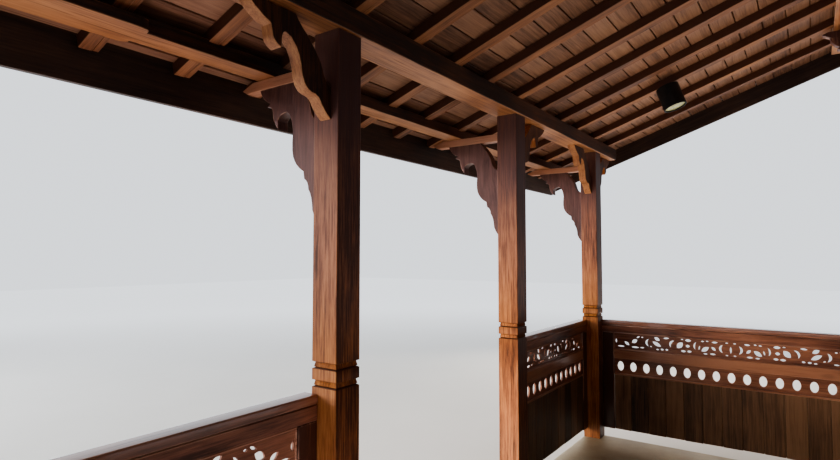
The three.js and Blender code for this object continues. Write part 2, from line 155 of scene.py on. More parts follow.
def easedCopy(nodeName, edge, segments=2, angle=28):
    piece = bareCopy(nodeName)
    applyModifier(piece, "BEVEL", width=edge, segments=segments, limit_method="ANGLE",
                  angle_limit=math.radians(angle), use_clamp_overlap=True, harden_normals=False)
    markWear(piece, edge * 0.9)
    return smoothEdges(piece)


facing = 0.8  # a face whose normal has more than this along an axis faces that way


def postPaintedShade(normal):  # painted shade: dark in the grooves' cuts, dim towards the house
    low, high = sawn["cutNormal"]
    if low < abs(normal.z) < high:
        return sawn["cutPaintedShade"]
    return sawn["housePaintedShade"] if normal.x > facing else 0.0


def paintedSideShade(normal):  # painted shade on the long sides, where little light gets to
    return sawn["sidePaintedShade"] if abs(normal.x) > facing else 0.0


def easedPost(nodeName, edge):  # corners eased all the way up, grooves left crisp, with painted shade in their cuts
    piece = bareCopy(nodeName)
    mesh = piece.data
    for vertex in mesh.vertices:
        if sawn["grooveLow"] < vertex.co.z < sawn["grooveHigh"]:
            vertex.co.z -= sawn["grooveDrop"]
    low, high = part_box(nodeName)
    centre = (Vector(low) + Vector(high)) / 2
    weights = mesh.attributes.new("bevel_weight_edge", "FLOAT", "EDGE")
    for line in mesh.edges:
        a, b = (mesh.vertices[i].co - centre for i in line.vertices)
        onCorners = all(abs(abs(end.x) - abs(end.y)) < sawn["cornerSlack"] for end in (a, b))
        sameCorner = onCorners and a.x * b.x > 0 and a.y * b.y > 0
        weights.data[line.index].value = 1.0 if sameCorner else 0.0
    applyModifier(piece, "BEVEL", width=edge, segments=2, limit_method="WEIGHT", use_clamp_overlap=True)
    markWear(piece, edge * 0.9)
    return smoothEdges(setTone(piece, 0.0, postPaintedShade))


def settle(piece, material, slot, *replaced):
    piece.data.materials.clear()
    piece.data.materials.append(material)
    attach(piece, "root")
    if replaced:
        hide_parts(*replaced)
    return piece


# Finishes

class Wire:
    def __init__(self, finish, socket):
        self.finish, self.socket = finish, socket

    def reckon(self, operation, first, second=0.0):
        return self.finish.node("ShaderNodeMath", {"operation": operation}, {0: first, 1: second})

    def __add__(self, other):
        return self.reckon("ADD", self, other)

    def __sub__(self, other):
        return self.reckon("SUBTRACT", self, other)

    def __rsub__(self, other):
        return self.reckon("SUBTRACT", other, self)

    def __mul__(self, other):
        return self.reckon("MULTIPLY", self, other)

    __radd__ = __add__
    __rmul__ = __mul__


class Finish:
    def __init__(self, name):
        self.material = bpy.data.materials.new(name)
        self.material.use_nodes = True
        self.tree = self.material.node_tree
        self.shader = self.tree.nodes["Principled BSDF"]

    def node(self, kind, settings, values, out=0):
        made = self.tree.nodes.new(kind)
        stops = settings.pop("stops", None)
        for key, value in settings.items():
            setattr(made, key, value)
        if stops:
            ramp = made.color_ramp
            while len(ramp.elements) < len(stops):
                ramp.elements.new(0.5)
            for element, (position, colour) in zip(ramp.elements, stops):
                element.position = position
                element.color = (*colour, 1)
        for key, value in values.items():
            self.feed(made.inputs[key], value)
        return Wire(self, made.outputs[out])

    def feed(self, socket, value):
        if isinstance(value, Wire):
            self.tree.links.new(value.socket, socket)
        else:
            socket.default_value = value

    def set(self, **values):
        for key, value in values.items():
            name = "".join(" " + c if c.isupper() else c for c in key).strip().title()
            self.feed(self.shader.inputs[name], value)

    def place(self):
        return self.node("ShaderNodeTexCoord", {}, {}, "Object")

    def stretched(self, vector, scale, turn=(0, 0, 0)):
        return self.node("ShaderNodeMapping", {}, {"Vector": vector, "Scale": scale, "Rotation": turn})

    def noise(self, vector, scale, detail=4.0, roughness=0.55, distortion=0.0):
        return self.node("ShaderNodeTexNoise", {}, {"Vector": vector, "Scale": scale, "Detail": detail,
                                                    "Roughness": roughness, "Distortion": distortion})

    def step(self, value, low, high, first=0.0, last=1.0, kind="SMOOTHSTEP"):
        return self.node("ShaderNodeMapRange", {"interpolation_type": kind},
                         {"Value": value, "From Min": low, "From Max": high, "To Min": first, "To Max": last})

    def mixed(self, factor, first, second, blend="MIX"):
        first, second = [(*c, 1) if isinstance(c, tuple) else c for c in (first, second)]
        return self.node("ShaderNodeMix", {"data_type": "RGBA", "blend_type": blend},
                         {0: factor, 6: first, 7: second}, 2)

    def ramp(self, factor, stops):
        return self.node("ShaderNodeValToRGB", {"stops": stops}, {0: factor}, 0)

    def attribute(self, name):
        return self.node("ShaderNodeAttribute", {"attribute_name": name}, {}, "Fac")

    def bump(self, height, strength, distance):
        return self.node("ShaderNodeBump", {}, {"Height": height, "Strength": strength, "Distance": distance})


woodGrain = {  # pattern sizes count per metre across the grain
    "stretch": 0.045, "longer": 0.35, "warpSize": 1.4, "wander": 0.05,
    "grainSize": 34.0, "fibreSize": 130.0, "patchSize": 1.9, "veinSize": 70.0, "knotSize": 4.5,
    "grainWeight": 0.5, "fibre": 0.36, "patches": 0.45, "lean": 0.16, "toneRange": 0.5,
    "veins": 0.5, "rub": 0.4,
    "veinSpan": (0.58, 0.70), "knotSpan": (0.03, 0.11), "rubSpan": (0.42, 0.62),
    # spans of the posts' painted warm light, fading at the very foot
    "paintedWarmLightSpan": (1.15, 1.65), "paintedWarmLightFootSpan": (0.95, 1.15), "paintedWarmLightAtFoot": 0.8,
    "fibreRough": 0.22, "patchRough": 0.2, "veinRough": 0.08,
    "specular": 0.5, "coat": 0.0, "coatRough": 0.2, "relief": 0.35, "reliefDepth": 0.0016,
}


def timber(name, ownLook):
    look = {**woodGrain, **ownLook}
    wood = Finish(name)
    place = wood.place()
    if "tilt" in look:
        place = wood.stretched(place, (1, 1, 1), (0, look["tilt"], 0))

    def drawnOut(vector, size, stretch):  # a pattern's space, longer along the grain
        scales = {"x": size, "y": size, "z": size}
        scales[look["grain"]] *= stretch
        return wood.stretched(vector, tuple(scales.values()))

    push = (wood.noise(place, look["warpSize"], 2.0) - 0.5) * look["wander"]
    shifted = wood.node("ShaderNodeVectorMath", {"operation": "ADD"}, {0: place, 1: push})
    grain = wood.noise(drawnOut(shifted, look["grainSize"], look["stretch"]), 1.0, 7.0, 0.68, 0.6)
    fibre = wood.noise(drawnOut(place, look["fibreSize"], look["stretch"]), 1.0, 4.0, 0.75)
    patch = wood.noise(place, look["patchSize"], 3.0, 0.6)
    vein = wood.noise(drawnOut(shifted, look["veinSize"], look["stretch"] * look["longer"]), 1.0, 2.0)
    veins = wood.step(vein, *look["veinSpan"])
    shade = grain * look["grainWeight"] + fibre * look["fibre"] + patch * look["patches"] - look["lean"]
    colour = wood.ramp(shade + wood.attribute("tone") * look["toneRange"], look["stops"])
    colour = wood.mixed(veins * look["veins"], colour, look["stops"][0][1])
    if "knots" in look:
        cells = wood.node("ShaderNodeTexVoronoi", {},
                          {"Vector": drawnOut(shifted, look["knotSize"], look["longer"]), "Scale": 1.0})
        knot = wood.step(cells, *look["knotSpan"], 1.0, 0.0)
        colour = wood.mixed(knot * look["knots"], colour, look["knotColour"])
    if "paintedTopShade" in look:  # painted shade, dusky under the roof, and painted warm light towards the floor
        low, high, depth = look["paintedTopShade"]
        height = wood.node("ShaderNodeSeparateXYZ", {}, {0: place}, "Z")
        colour = wood.mixed(wood.step(height, low, high) * (grain + 0.5) * depth, colour, look["paintedShadeColour"])
        warmLightMask = wood.step(height, *look["paintedWarmLightSpan"], 1.0, 0.0)
        foot = wood.step(height, *look["paintedWarmLightFootSpan"], look["paintedWarmLightAtFoot"])
        colour = wood.mixed(warmLightMask * foot, colour, look["paintedWarmLight"], "MULTIPLY")
    rubbed = wood.attribute("wear") * wood.step(grain, *look["rubSpan"]) * look["rub"]
    colour = wood.mixed(rubbed, colour, look["rubColour"])
    rough = look["rough"] + (fibre - 0.5) * look["fibreRough"] + (patch - 0.5) * look["patchRough"]
    wood.set(BaseColor=colour, Roughness=rough + veins * look["veinRough"])
    wood.shader.inputs["Specular IOR Level"].default_value = look["specular"]
    wood.shader.inputs["Coat Weight"].default_value = look["coat"]
    wood.shader.inputs["Coat Roughness"].default_value = look["coatRough"]
    height = grain * 0.6 + fibre * 0.4 - veins * 0.5
    wood.set(Normal=wood.bump(height, look["relief"], look["reliefDepth"]))
    return wood.material


teak = {
    "post": {
        "grain": "z", "rough": 0.46, "specular": 0.3, "coat": 0.06,
        "knots": 0.5, "knotColour": (0.05, 0.015, 0.008),
        "stops": [(0.34, (0.080, 0.028, 0.015)), (0.435, (0.215, 0.079, 0.040)),
                  (0.53, (0.345, 0.136, 0.065)), (0.65, (0.47, 0.208, 0.100))],
        "rubColour": (0.52, 0.27, 0.16), "veins": 0.45, "fibre": 0.72, "lean": 0.34,
        # painted shade at the top of the posts and painted warm light low down
        "paintedTopShade": (1.55, 2.2, 0.8), "paintedShadeColour": (0.076, 0.040, 0.041), "paintedWarmLight": (1.0, 0.93, 0.60),
    },
    "beam": {
        "rough": 0.5, "knots": 0.35, "knotColour": (0.07, 0.025, 0.01),
        "stops": [(0.12, (0.018, 0.008, 0.005)), (0.34, (0.12, 0.043, 0.018)), (0.435, (0.29, 0.118, 0.048)),
                  (0.53, (0.41, 0.183, 0.076)), (0.65, (0.50, 0.25, 0.115))],
        "rubColour": (0.58, 0.32, 0.17), "veins": 0.4,
    },
    "knee": {
        "rough": 0.54, "specular": 0.35, "grain": "z", "wander": 0.12, "fibre": 0.42,
        "stops": [(0.20, (0.022, 0.008, 0.005)), (0.40, (0.14, 0.050, 0.021)),
                  (0.53, (0.29, 0.120, 0.050)), (0.65, (0.42, 0.195, 0.080))],
        "rubColour": (0.56, 0.31, 0.15), "veins": 0.25,
    },
    "console": {
        "rough": 0.46, "grain": "z", "wander": 0.16, "patches": 0.35,
        "stops": [(0.34, (0.054, 0.021, 0.018)), (0.435, (0.094, 0.040, 0.032)),
                  (0.53, (0.131, 0.059, 0.047)), (0.65, (0.18, 0.088, 0.069))],
        "rubColour": (0.46, 0.24, 0.14), "veins": 0.12,
    },
    "rafter": {
        "rough": 0.58, "knots": 0.3, "knotColour": (0.05, 0.02, 0.01),
        "stops": [(0.34, (0.075, 0.026, 0.011)), (0.435, (0.20, 0.079, 0.034)),
                  (0.53, (0.30, 0.127, 0.055)), (0.65, (0.40, 0.182, 0.077))],
        "rubColour": (0.46, 0.24, 0.13), "veins": 0.45,
    },
    "deck": {
        "rough": 0.62, "knots": 0.55, "knotColour": (0.045, 0.019, 0.012),
        "patches": 0.36, "lean": 0.09, "toneRange": 0.26,
        "stops": [(0.33, (0.085, 0.040, 0.026)), (0.43, (0.21, 0.107, 0.066)),
                  (0.53, (0.32, 0.169, 0.104)), (0.66, (0.43, 0.243, 0.152))],
        "rubColour": (0.30, 0.15, 0.08), "veins": 0.36,
    },
    "trim": {
        "rough": 0.55,
        "stops": [(0.34, (0.010, 0.006, 0.005)), (0.435, (0.028, 0.015, 0.011)),
                  (0.53, (0.050, 0.027, 0.019)), (0.65, (0.085, 0.048, 0.033))],
        "rubColour": (0.14, 0.085, 0.06), "veins": 0.3,
    },
    "rail": {
        "rough": 0.34, "coat": 0.6, "coatRough": 0.16, "knots": 0.3, "knotColour": (0.03, 0.010, 0.007),
        "stops": [(0.34, (0.052, 0.018, 0.011)), (0.435, (0.15, 0.056, 0.032)),
                  (0.53, (0.25, 0.100, 0.056)), (0.65, (0.35, 0.160, 0.090))],
        "rubColour": (0.48, 0.27, 0.18), "veins": 0.6, "rub": 0.8,
    },
    "plank": {
        "grain": "z", "rough": 0.5, "knots": 0.3, "knotColour": (0.02, 0.010, 0.006), "toneRange": 0.28,
        "stops": [(0.34, (0.026, 0.014, 0.008)), (0.435, (0.072, 0.037, 0.020)),
                  (0.53, (0.125, 0.065, 0.034)), (0.65, (0.19, 0.103, 0.055))],
        "rubColour": (0.28, 0.16, 0.09), "veins": 0.5,
    },
}
pitch = math.atan(0.35)
armLook = {**teak["beam"], "grain": "x", "stops": [
    (0.12, (0.018, 0.008, 0.005)), (0.34, (0.11, 0.042, 0.024)), (0.435, (0.27, 0.112, 0.062)),
    (0.53, (0.38, 0.17, 0.10)), (0.65, (0.46, 0.225, 0.135))]}
handShine = {"coat": 1.0, "coatRough": 0.07, "specular": 0.8}  # the handrail tops shine more than the boards
postWood = timber("post_teak", teak["post"])
beamWood = timber("beam_teak", {**teak["beam"], "grain": "y"})
armWood = timber("arm_teak", armLook)
kneeWood = timber("knee_teak", teak["knee"])
consoleWood = timber("console_teak", teak["console"])
rafterWood = timber("rafter_teak", {**teak["rafter"], "grain": "x", "tilt": pitch})
deckWood = timber("ceiling_boards", {**teak["deck"], "grain": "y"})
fasciaWood = timber("fascia_stain", {**teak["trim"], "grain": "y"})
bargeWood = timber("barge_stain", {**teak["trim"], "grain": "x", "tilt": pitch})
frontRailWood = timber("front_rail_varnish", {**teak["rail"], "grain": "y"})
endRailWood = timber("end_rail_varnish", {**teak["rail"], "grain": "x"})
frontCapWood = timber("front_cap_varnish", {**teak["rail"], **handShine, "grain": "y"})
endCapWood = timber("end_cap_varnish", {**teak["rail"], **handShine, "grain": "x"})
stileWood = timber("rail_stiles", {**teak["rail"], "grain": "z", "coat": 0.2})
plankWood = timber("rail_planks", teak["plank"])


cementLook = {
    "cloudSize": 2.2, "speckSize": 60.0, "stainSize": 6.5, "crackSize": 0.55, "drift": 0.5,
    "stops": [(0.30, (0.235, 0.185, 0.120)), (0.5, (0.345, 0.280, 0.185)), (0.7, (0.455, 0.385, 0.265))],
    "damp": 0.65, "dampHeight": 0.05, "dampColour": (0.17, 0.155, 0.135),
    "crack": 0.5, "crackWidth": 0.0035, "crackColour": (0.16, 0.14, 0.125),
    "rough": 0.42, "stainRough": 0.3, "cloudRough": 0.1, "relief": 0.3, "reliefDepth": 0.0025,
}
clayLook = {
    "gritSize": 150.0, "bloomSize": 7.0, "mossSize": 2.6,
    "bloom": 0.55, "grit": 0.2, "toneRange": 0.3, "paleness": 0.13,
    "stops": [(0.2, (0.10, 0.038, 0.022)), (0.45, (0.235, 0.088, 0.049)),
              (0.65, (0.34, 0.142, 0.080)), (0.9, (0.45, 0.235, 0.15))],
    "moss": 0.6, "mossSpan": (0.54, 0.72), "mossColour": (0.075, 0.07, 0.042),
    "rough": 0.72, "gritRough": 0.22, "relief": 0.5, "reliefDepth": 0.003,
}
lampLook = {
    "dustSize": 30.0, "grainSize": 700.0,
    "stops": [(0.35, (0.003, 0.003, 0.004)), (0.7, (0.011, 0.011, 0.012))],
    "rough": 0.34, "dustRough": 0.25, "metallic": 0.2, "relief": 0.2, "reliefDepth": 0.0005,
}
lensLook = {
    "cloudSize": 35.0, "frostSize": 240.0,
    "stops": [(0.3, (0.32, 0.32, 0.13)), (0.7, (0.60, 0.61, 0.30))],
    "rough": 0.16, "frostRough": 0.2, "glow": 0.12, "relief": 0.4, "reliefDepth": 0.001,
}


def cementFinish(look):
    cement = Finish("polished_cement")
    place = cement.place()
    cloud = cement.noise(place, look["cloudSize"], 5.0, 0.6)
    speck = cement.noise(place, look["speckSize"], 3.0, 0.7)
    stain = cement.noise(place, look["stainSize"], 6.0, 0.65, 0.6)
    height = cement.node("ShaderNodeSeparateXYZ", {}, {0: place}, "Z")
    damp = cement.step(height, 0.0, look["dampHeight"], look["damp"], 0.0)
    colour = cement.ramp(cloud * 0.6 + stain * 0.35 + speck * 0.08, look["stops"])
    colour = cement.mixed(damp * (0.4 + stain), colour, look["dampColour"])
    push = (stain - 0.5) * look["drift"]
    shifted = cement.node("ShaderNodeVectorMath", {"operation": "ADD"}, {0: place, 1: push})
    crack = cement.node("ShaderNodeTexVoronoi", {"feature": "DISTANCE_TO_EDGE"},
                        {"Vector": shifted, "Scale": look["crackSize"]})
    line = cement.step(crack, 0.0, look["crackWidth"], 1.0, 0.0)
    colour = cement.mixed(line * look["crack"], colour, look["crackColour"])
    rough = look["rough"] + stain * look["stainRough"] - cloud * look["cloudRough"]
    cement.set(BaseColor=colour, Roughness=rough)
    height = cloud * 0.4 + speck * 0.4 - line * 0.6
    cement.set(Normal=cement.bump(height, look["relief"], look["reliefDepth"]))
    return cement.material


def clayFinish(look):
    clay = Finish("clay_tiles")
    place = clay.place()
    grit = clay.noise(place, look["gritSize"], 3.0, 0.7)
    bloom = clay.noise(place, look["bloomSize"], 5.0, 0.65)
    moss = clay.noise(place, look["mossSize"], 6.0, 0.7, 0.3)
    shade = bloom * look["bloom"] + grit * look["grit"] + look["paleness"]
    colour = clay.ramp(shade + clay.attribute("tone") * look["toneRange"], look["stops"])
    mossy = clay.step(moss, *look["mossSpan"]) * look["moss"]
    clay.set(BaseColor=clay.mixed(mossy, colour, look["mossColour"]))
    clay.set(Roughness=look["rough"] + grit * look["gritRough"])
    clay.set(Normal=clay.bump(grit * 0.5 + bloom * 0.5, look["relief"], look["reliefDepth"]))
    return clay.material


def lampFinish(look):
    black = Finish("lamp_satin_black")
    place = black.place()
    dust = black.noise(place, look["dustSize"], 4.0, 0.6)
    black.set(BaseColor=black.ramp(dust, look["stops"]), Roughness=look["rough"] + dust * look["dustRough"])
    black.shader.inputs["Metallic"].default_value = look["metallic"]
    grain = black.noise(place, look["grainSize"], 2.0)
    black.set(Normal=black.bump(grain, look["relief"], look["reliefDepth"]))
    return black.material


def lensFinish(look):
    lens = Finish("lamp_frosted_lens")
    place = lens.place()
    cloud = lens.noise(place, look["cloudSize"], 3.0)
    frost = lens.noise(place, look["frostSize"], 2.0)
    colour = lens.ramp(cloud, look["stops"])
    lens.set(BaseColor=colour, Roughness=look["rough"] + frost * look["frostRough"], EmissionColor=colour)
    lens.shader.inputs["Emission Strength"].default_value = look["glow"]
    lens.set(Normal=lens.bump(frost, look["relief"], look["reliefDepth"]))
    return lens.material


cement = cementFinish(cementLook)
clay = clayFinish(clayLook)
lampBlack = lampFinish(lampLook)
lensGlass = lensFinish(lensLook)
print("finishes made")


# Floor

nodes["floor_slab"].data.materials.clear()
nodes["floor_slab"].data.materials.append(cement)

# Posts, beams and carved brackets: the solids with their edges eased

sawn = {
    "postEdge": 0.0035, "beamEdge": 0.004, "carvedEdge": 0.003, "trimEdge": 0.002, "capEdge": 0.0025,
    "lampEdge": 0.0015, "curvedAngle": 40, "cornerSlack": 0.0001, "cutNormal": (0.5, 0.97),
    "grooveLow": 1.09, "grooveHigh": 1.23, "grooveDrop": 0.014,
    # painted shade: the posts' groove cuts and house-side faces, and the long sides of beams and knees
    "cutPaintedShade": -0.9, "housePaintedShade": -0.28, "sidePaintedShade": -0.6, "armTone": 0.25, "kneeTone": 0.1,
}


def easedCurved(nodeName, edge=sawn["carvedEdge"]):  # leaves the facets of a curved outline alone
    return easedCopy(nodeName, edge, 2, sawn["curvedAngle"])


for i in range(1, 5):
    for name in (f"outer_post_{i}", f"inner_post_{i}"):
        settle(easedPost(name, sawn["postEdge"]), postWood, "post_wood", name)
    name = f"eave_arm_{i}"
    settle(setTone(easedCopy(name, sawn["carvedEdge"]), sawn["armTone"]), armWood, "beam_wood", name)
    for name in (f"eave_console_{i}", f"inner_bracket_{i}"):
        settle(easedCurved(name), consoleWood, "carved_wood", name)
    for name in (f"knee_{i}_left", f"knee_{i}_right"):
        if name in nodes:  # the open middle bay has no knees
            knee = setTone(easedCurved(name), sawn["kneeTone"], paintedSideShade)
            settle(knee, kneeWood, "carved_wood", name)
for name in ("outer_beam", "inner_beam", "eave_purlin", "inner_purlin"):
    beam = setTone(easedCurved(name, sawn["beamEdge"]), 0.0, paintedSideShade)
    settle(beam, beamWood, "beam_wood", name)
for name in ("eave_fascia", "top_fascia"):
    settle(easedCopy(name, sawn["trimEdge"]), fasciaWood, "trim_wood", name)
for name in ("barge_board_left", "barge_board_right"):
    settle(easedCopy(name, sawn["trimEdge"]), bargeWood, "trim_wood", name)
for run in ("front_left", "front_right", "end_left", "end_right"):
    name = "cap_rail_" + run
    capWood = frontCapWood if "front" in run else endCapWood
    settle(easedCopy(name, sawn["capEdge"]), capWood, "rail_wood", name)
print("posts, beams and brackets eased")


# Roof: rafters, ceiling boards and clay tiles

roof = {
    "underside": 2.82975,  # height of the rafters' underside over the middle of the plan
    "reach": 1.4447, "halfLength": 2.9290, "wearWidth": 0.004,
    "rafterY": [-2.523, -2.163, -1.803, -1.442, -1.082, -0.721, -0.336, 0.014,
                0.359, 0.739, 1.078, 1.443, 1.771, 2.172, 2.553],
    "rafterWidth": 0.070, "rafterDepth": 0.050, "batten": 0.021, "battenGap": 0.002, "battenRise": 0.003,
    "rafterEdge": 0.003, "battenEdge": 0.002, "rafterTone": 0.12, "rafterSidePaintedShade": -0.75,
    "boardPitch": 0.123, "boardStart": -0.411, "boardGap": 0.006, "boardThickness": 0.020,
    "boardEdge": 0.0025, "boardTone": 0.32, "narrowest": 0.02, "endGap": 0.001, "unevenness": 0.0015,
    "tileThickness": 0.010, "tileRows": 12, "tileColumns": 29, "tileLap": 0.065, "tileTilt": 0.013,
    "rollRise": 0.023, "rollWidth": 0.084, "rollPast": 0.009, "rollRoundness": 0.7, "panLift": 0.004,
    "panFaces": 4, "rollFaces": 7, "tileTone": 0.5, "rollSide": 0.45, "rollSideDirtAndShade": -0.9,
    "coverDepth": 0.051, "coverReachX": 1.4997, "coverReachY": 2.9847, "coverGap": 0.0005,
    "verge": 0.002, "verges": 0.021, "slip": 0.002, "clearance": 0.001,
}
cosPitch, sinPitch = math.cos(pitch), math.sin(pitch)
ontoRoof = Matrix.Translation((0, 0, roof["underside"])) @ Matrix.Rotation(-pitch, 4, "Y")


def alongSlope(x, lift):  # distance up the slope of a point at x, lift above the rafters' underside
    return (x + lift * sinPitch) / cosPitch


def makeRafters():
    low = alongSlope(-roof["reach"], roof["rafterDepth"]) + roof["clearance"]
    high = alongSlope(roof["reach"], 0.0) - roof["clearance"]
    half, batten, depth = roof["rafterWidth"] / 2, roof["batten"], roof["rafterDepth"]
    for i, y in enumerate(roof["rafterY"]):
        seam = y + half - batten
        main = sawnBoard((low, y - half, 0), (high, seam - roof["battenGap"], depth), roof["rafterEdge"])
        strip = sawnBoard((low, seam, roof["battenRise"]), (high, y + half, depth), roof["battenEdge"])
        rafter = joinPieces(f"rafter_{i + 1}", [main, strip])
        tone = random.uniform(-roof["rafterTone"], roof["rafterTone"])
        # painted shade on the rafters' sides
        setTone(rafter, tone, lambda normal: roof["rafterSidePaintedShade"] * (abs(normal.y) > facing))
        markWear(rafter, roof["wearWidth"])
        rafter.data.transform(ontoRoof)
        settle(smoothEdges(rafter), rafterWood, "rafter_wood", "rafters_and_deck")


def makeCeiling():
    under, thick = roof["rafterDepth"], roof["boardThickness"]
    gap, pitchLength = roof["boardGap"], roof["boardPitch"]
    first = math.ceil((-roof["reach"] - roof["boardStart"]) / pitchLength)
    last = math.floor((roof["reach"] - roof["boardStart"]) / pitchLength)
    joints = [roof["boardStart"] + pitchLength * k for k in range(first, last + 1)]
    joints = [-roof["reach"]] + joints + [roof["reach"]]
    boards = []
    for j, (x0, x1) in enumerate(zip(joints[:-1], joints[1:])):
        if x1 - x0 < roof["narrowest"]:
            continue
        low = alongSlope(x0, under + (thick if j == 0 else 0)) + gap / 2
        high = alongSlope(x1, under) - gap / 2
        breaks = sorted(random.sample(roof["rafterY"][1:-1], 2 if j % 3 else 1))
        ends = [-roof["halfLength"]] + breaks + [roof["halfLength"]]
        for y0, y1 in zip(ends[:-1], ends[1:]):
            lift = random.uniform(0, roof["unevenness"])
            lowCorner = (low, y0 + roof["endGap"], under + lift)
            highCorner = (high, y1 - roof["endGap"], under + thick)
            board = sawnBoard(lowCorner, highCorner, roof["boardEdge"], 1)
            boards.append(setTone(board, random.uniform(-roof["boardTone"], roof["boardTone"])))
    ceiling = joinPieces("ceiling_boards", boards)
    ceiling.data.transform(ontoRoof)
    settle(ceiling, deckWood, "rafter_wood", "rafters_and_deck")


def makeTile(width, length):  # one clay tile: a shallow pan with a roll along its right edge
    clearSelection()
    panFaces, rollFaces = roof["panFaces"], roof["rollFaces"]
    bpy.ops.mesh.primitive_grid_add(x_subdivisions=2, y_subdivisions=panFaces + rollFaces, size=1)
    tile = bpy.context.object
    rollStart = width + roof["rollPast"] - roof["rollWidth"]
    for vertex in tile.data.vertices:
        along, step = vertex.co.x + 0.5, round((vertex.co.y + 0.5) * (panFaces + rollFaces))
        t = max(0.0, (step - panFaces) / rollFaces)
        across = rollStart * min(1.0, step / panFaces) + roof["rollWidth"] * t
        roll = roof["rollRise"] * math.sin(math.pi * t) ** roof["rollRoundness"] if 0 < t < 1 else 0.0
        vertex.co = (along * length, across, roof["panLift"] + roof["tileTilt"] * (1 - along) + roll)
    applyModifier(tile, "SOLIDIFY", thickness=roof["tileThickness"], offset=1)
    return smoothEdges(tile, 35)


def rollDirtAndShade(normal):  # dirt and painted shade where a roll turns down to the pan beside it
    return roof["rollSideDirtAndShade"] if abs(normal.y) > roof["rollSide"] else 0.0


def makeTiles():
    base = roof["rafterDepth"] + roof["boardThickness"] + roof["coverGap"]
    low = alongSlope(-roof["coverReachX"], base + roof["coverDepth"]) + roof["clearance"]
    high = alongSlope(roof["coverReachX"], base) - roof["clearance"]
    rows, columns = roof["tileRows"], roof["tileColumns"]
    exposure = (high - low - roof["tileLap"]) / rows
    width = (2 * roof["coverReachY"] - roof["verges"]) / columns
    tile = makeTile(width, exposure + roof["tileLap"])
    tiles = []
    for row in range(rows):
        for column in range(columns):
            x = low + row * exposure + random.uniform(0, roof["slip"])
            y = -roof["coverReachY"] + roof["verge"] + column * width
            twin = copyOf(tile, "tile", Matrix.Translation((x, y, base)))
            tone = random.uniform(-roof["tileTone"], roof["tileTone"])
            tiles.append(setTone(twin, tone, rollDirtAndShade))
    bpy.data.objects.remove(tile)
    cover = joinPieces("roof_cover", tiles)
    cover.data.transform(ontoRoof)
    settle(cover, clay, "roof_cover", "roof_tiles")


makeRafters()
makeCeiling()
makeTiles()
print("roof laid")


# Balustrades: frame boards, a pierced scroll strip, a band of ovals and planks

rail = {
    "floor": 0.120, "thickness": 0.035, "stile": 0.095, "bottom": 0.075, "top": 0.9177, "seam": 0.001,
    "fretBottom": 0.728, "fretTop": 0.846, "fretRoom": 0.008, "fretBoard": 0.010,
    "ovalBottom": 0.527, "ovalTop": 0.645, "ovalCentre": 0.585, "ovalWidth": 0.048, "ovalHeight": 0.074,
    "ovalBoard": 0.013, "ovalPitch": 0.0985, "pierceEdge": 0.0018, "boardEdge": 0.004, "wearWidth": 0.004,
    "shadowGap": 0.004, "shadowDepth": 0.006, "shadowLap": 0.002, "mouldWidth": 0.007, "mouldHalf": 0.0135,
    "plankTop": 0.513, "plankWidth": 0.128, "plankHalf": 0.010, "plankEdge": 0.0035, "plankDrop": 0.004,
    "tongueReach": 0.006, "tongueHalf": 0.003, "tongueEdge": 0.0005, "tongueLift": 0.008, "tongueDrop": 0.002,
}
railTones = {
    "head": -0.09, "shadow": -0.9, "middle": 0.3, "low": 0.15, "stile": -0.45, "mould": 0.1,
    "plank": 0.5, "tongue": -0.5, "frontPlanks": 0.0, "endPlanks": 0.2,
}


def bentLine(start, control, end, steps):
    return [tuple((1 - t) ** 2 * a + 2 * t * (1 - t) * b + t * t * c for a, b, c in zip(start, control, end))
            for t in [i / steps for i in range(1, steps + 1)]]


def turned(u, z, reach, angle):
    return (u + reach * math.cos(angle), z + reach * math.sin(angle))


def moonLine(u, z, radius, fromAngle, toAngle, thickness, steps=14):
    low, high = math.radians(fromAngle), math.radians(toAngle)
    middle, chord = (low + high) / 2, radius * math.cos((high - low) / 2)
    pull = 2 * (radius - thickness) - chord
    arc = [turned(u, z, radius, low + (high - low) * i / steps) for i in range(steps + 1)]
    return arc + bentLine(arc[-1], turned(u, z, pull, middle), arc[0], steps)[:-1]


def leafLine(u0, z0, u1, z1, bulge, steps=8):
    across = (-(z1 - z0) * bulge, (u1 - u0) * bulge)
    middle = ((u0 + u1) / 2, (z0 + z1) / 2)
    there = bentLine((u0, z0), (middle[0] - across[0], middle[1] - across[1]), (u1, z1), steps)
    back = bentLine((u1, z1), (middle[0] + across[0], middle[1] + across[1]), (u0, z0), steps)
    return there + back


def ovalLine(u, z, steps=28):
    halfWidth, halfHeight = rail["ovalWidth"] / 2, rail["ovalHeight"] / 2
    angles = [2 * math.pi * i / steps for i in range(steps)]
    return [(u + halfWidth * math.cos(angle), z + halfHeight * math.sin(angle)) for angle in angles]


